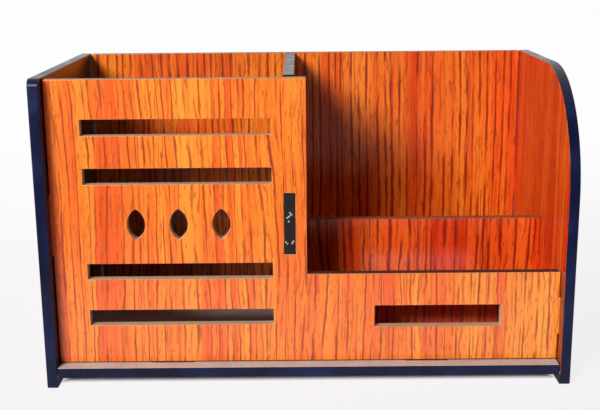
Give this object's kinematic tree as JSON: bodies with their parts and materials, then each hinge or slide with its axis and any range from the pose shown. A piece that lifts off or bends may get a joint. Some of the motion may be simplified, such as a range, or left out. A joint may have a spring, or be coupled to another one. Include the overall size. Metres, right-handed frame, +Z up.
{
  "type": "desk pen stand",
  "caption": "Open-topped desk stand of interlocking MDF sheets: a tall slotted pen bay beside a low-fronted card pocket and a rear pocket, with one side swept round.",
  "frame": {"origin": "on the table, midway between the side panels and between their front and back edges", "axes": "+X to the right of someone facing the front, +Y from front to back, +Z up"},
  "size_m": [0.2, 0.101, 0.1185],
  "materials": {
    "laminated_mdf": "satin wood-grain laminate on MDF, cut edges painted dark blue",
    "base_mdf": "bare sanded MDF, cut edges painted dark blue",
    "glue": "dried clear adhesive"
  },
  "bodies": {
    "root": {"left_side_panel": "laminated_mdf", "right_side_panel": "laminated_mdf", "base_panel": "base_mdf", "front_panel": "laminated_mdf", "back_panel": "laminated_mdf", "centre_divider": "laminated_mdf", "bay_divider": "laminated_mdf"}
  },
  "joints": []
}
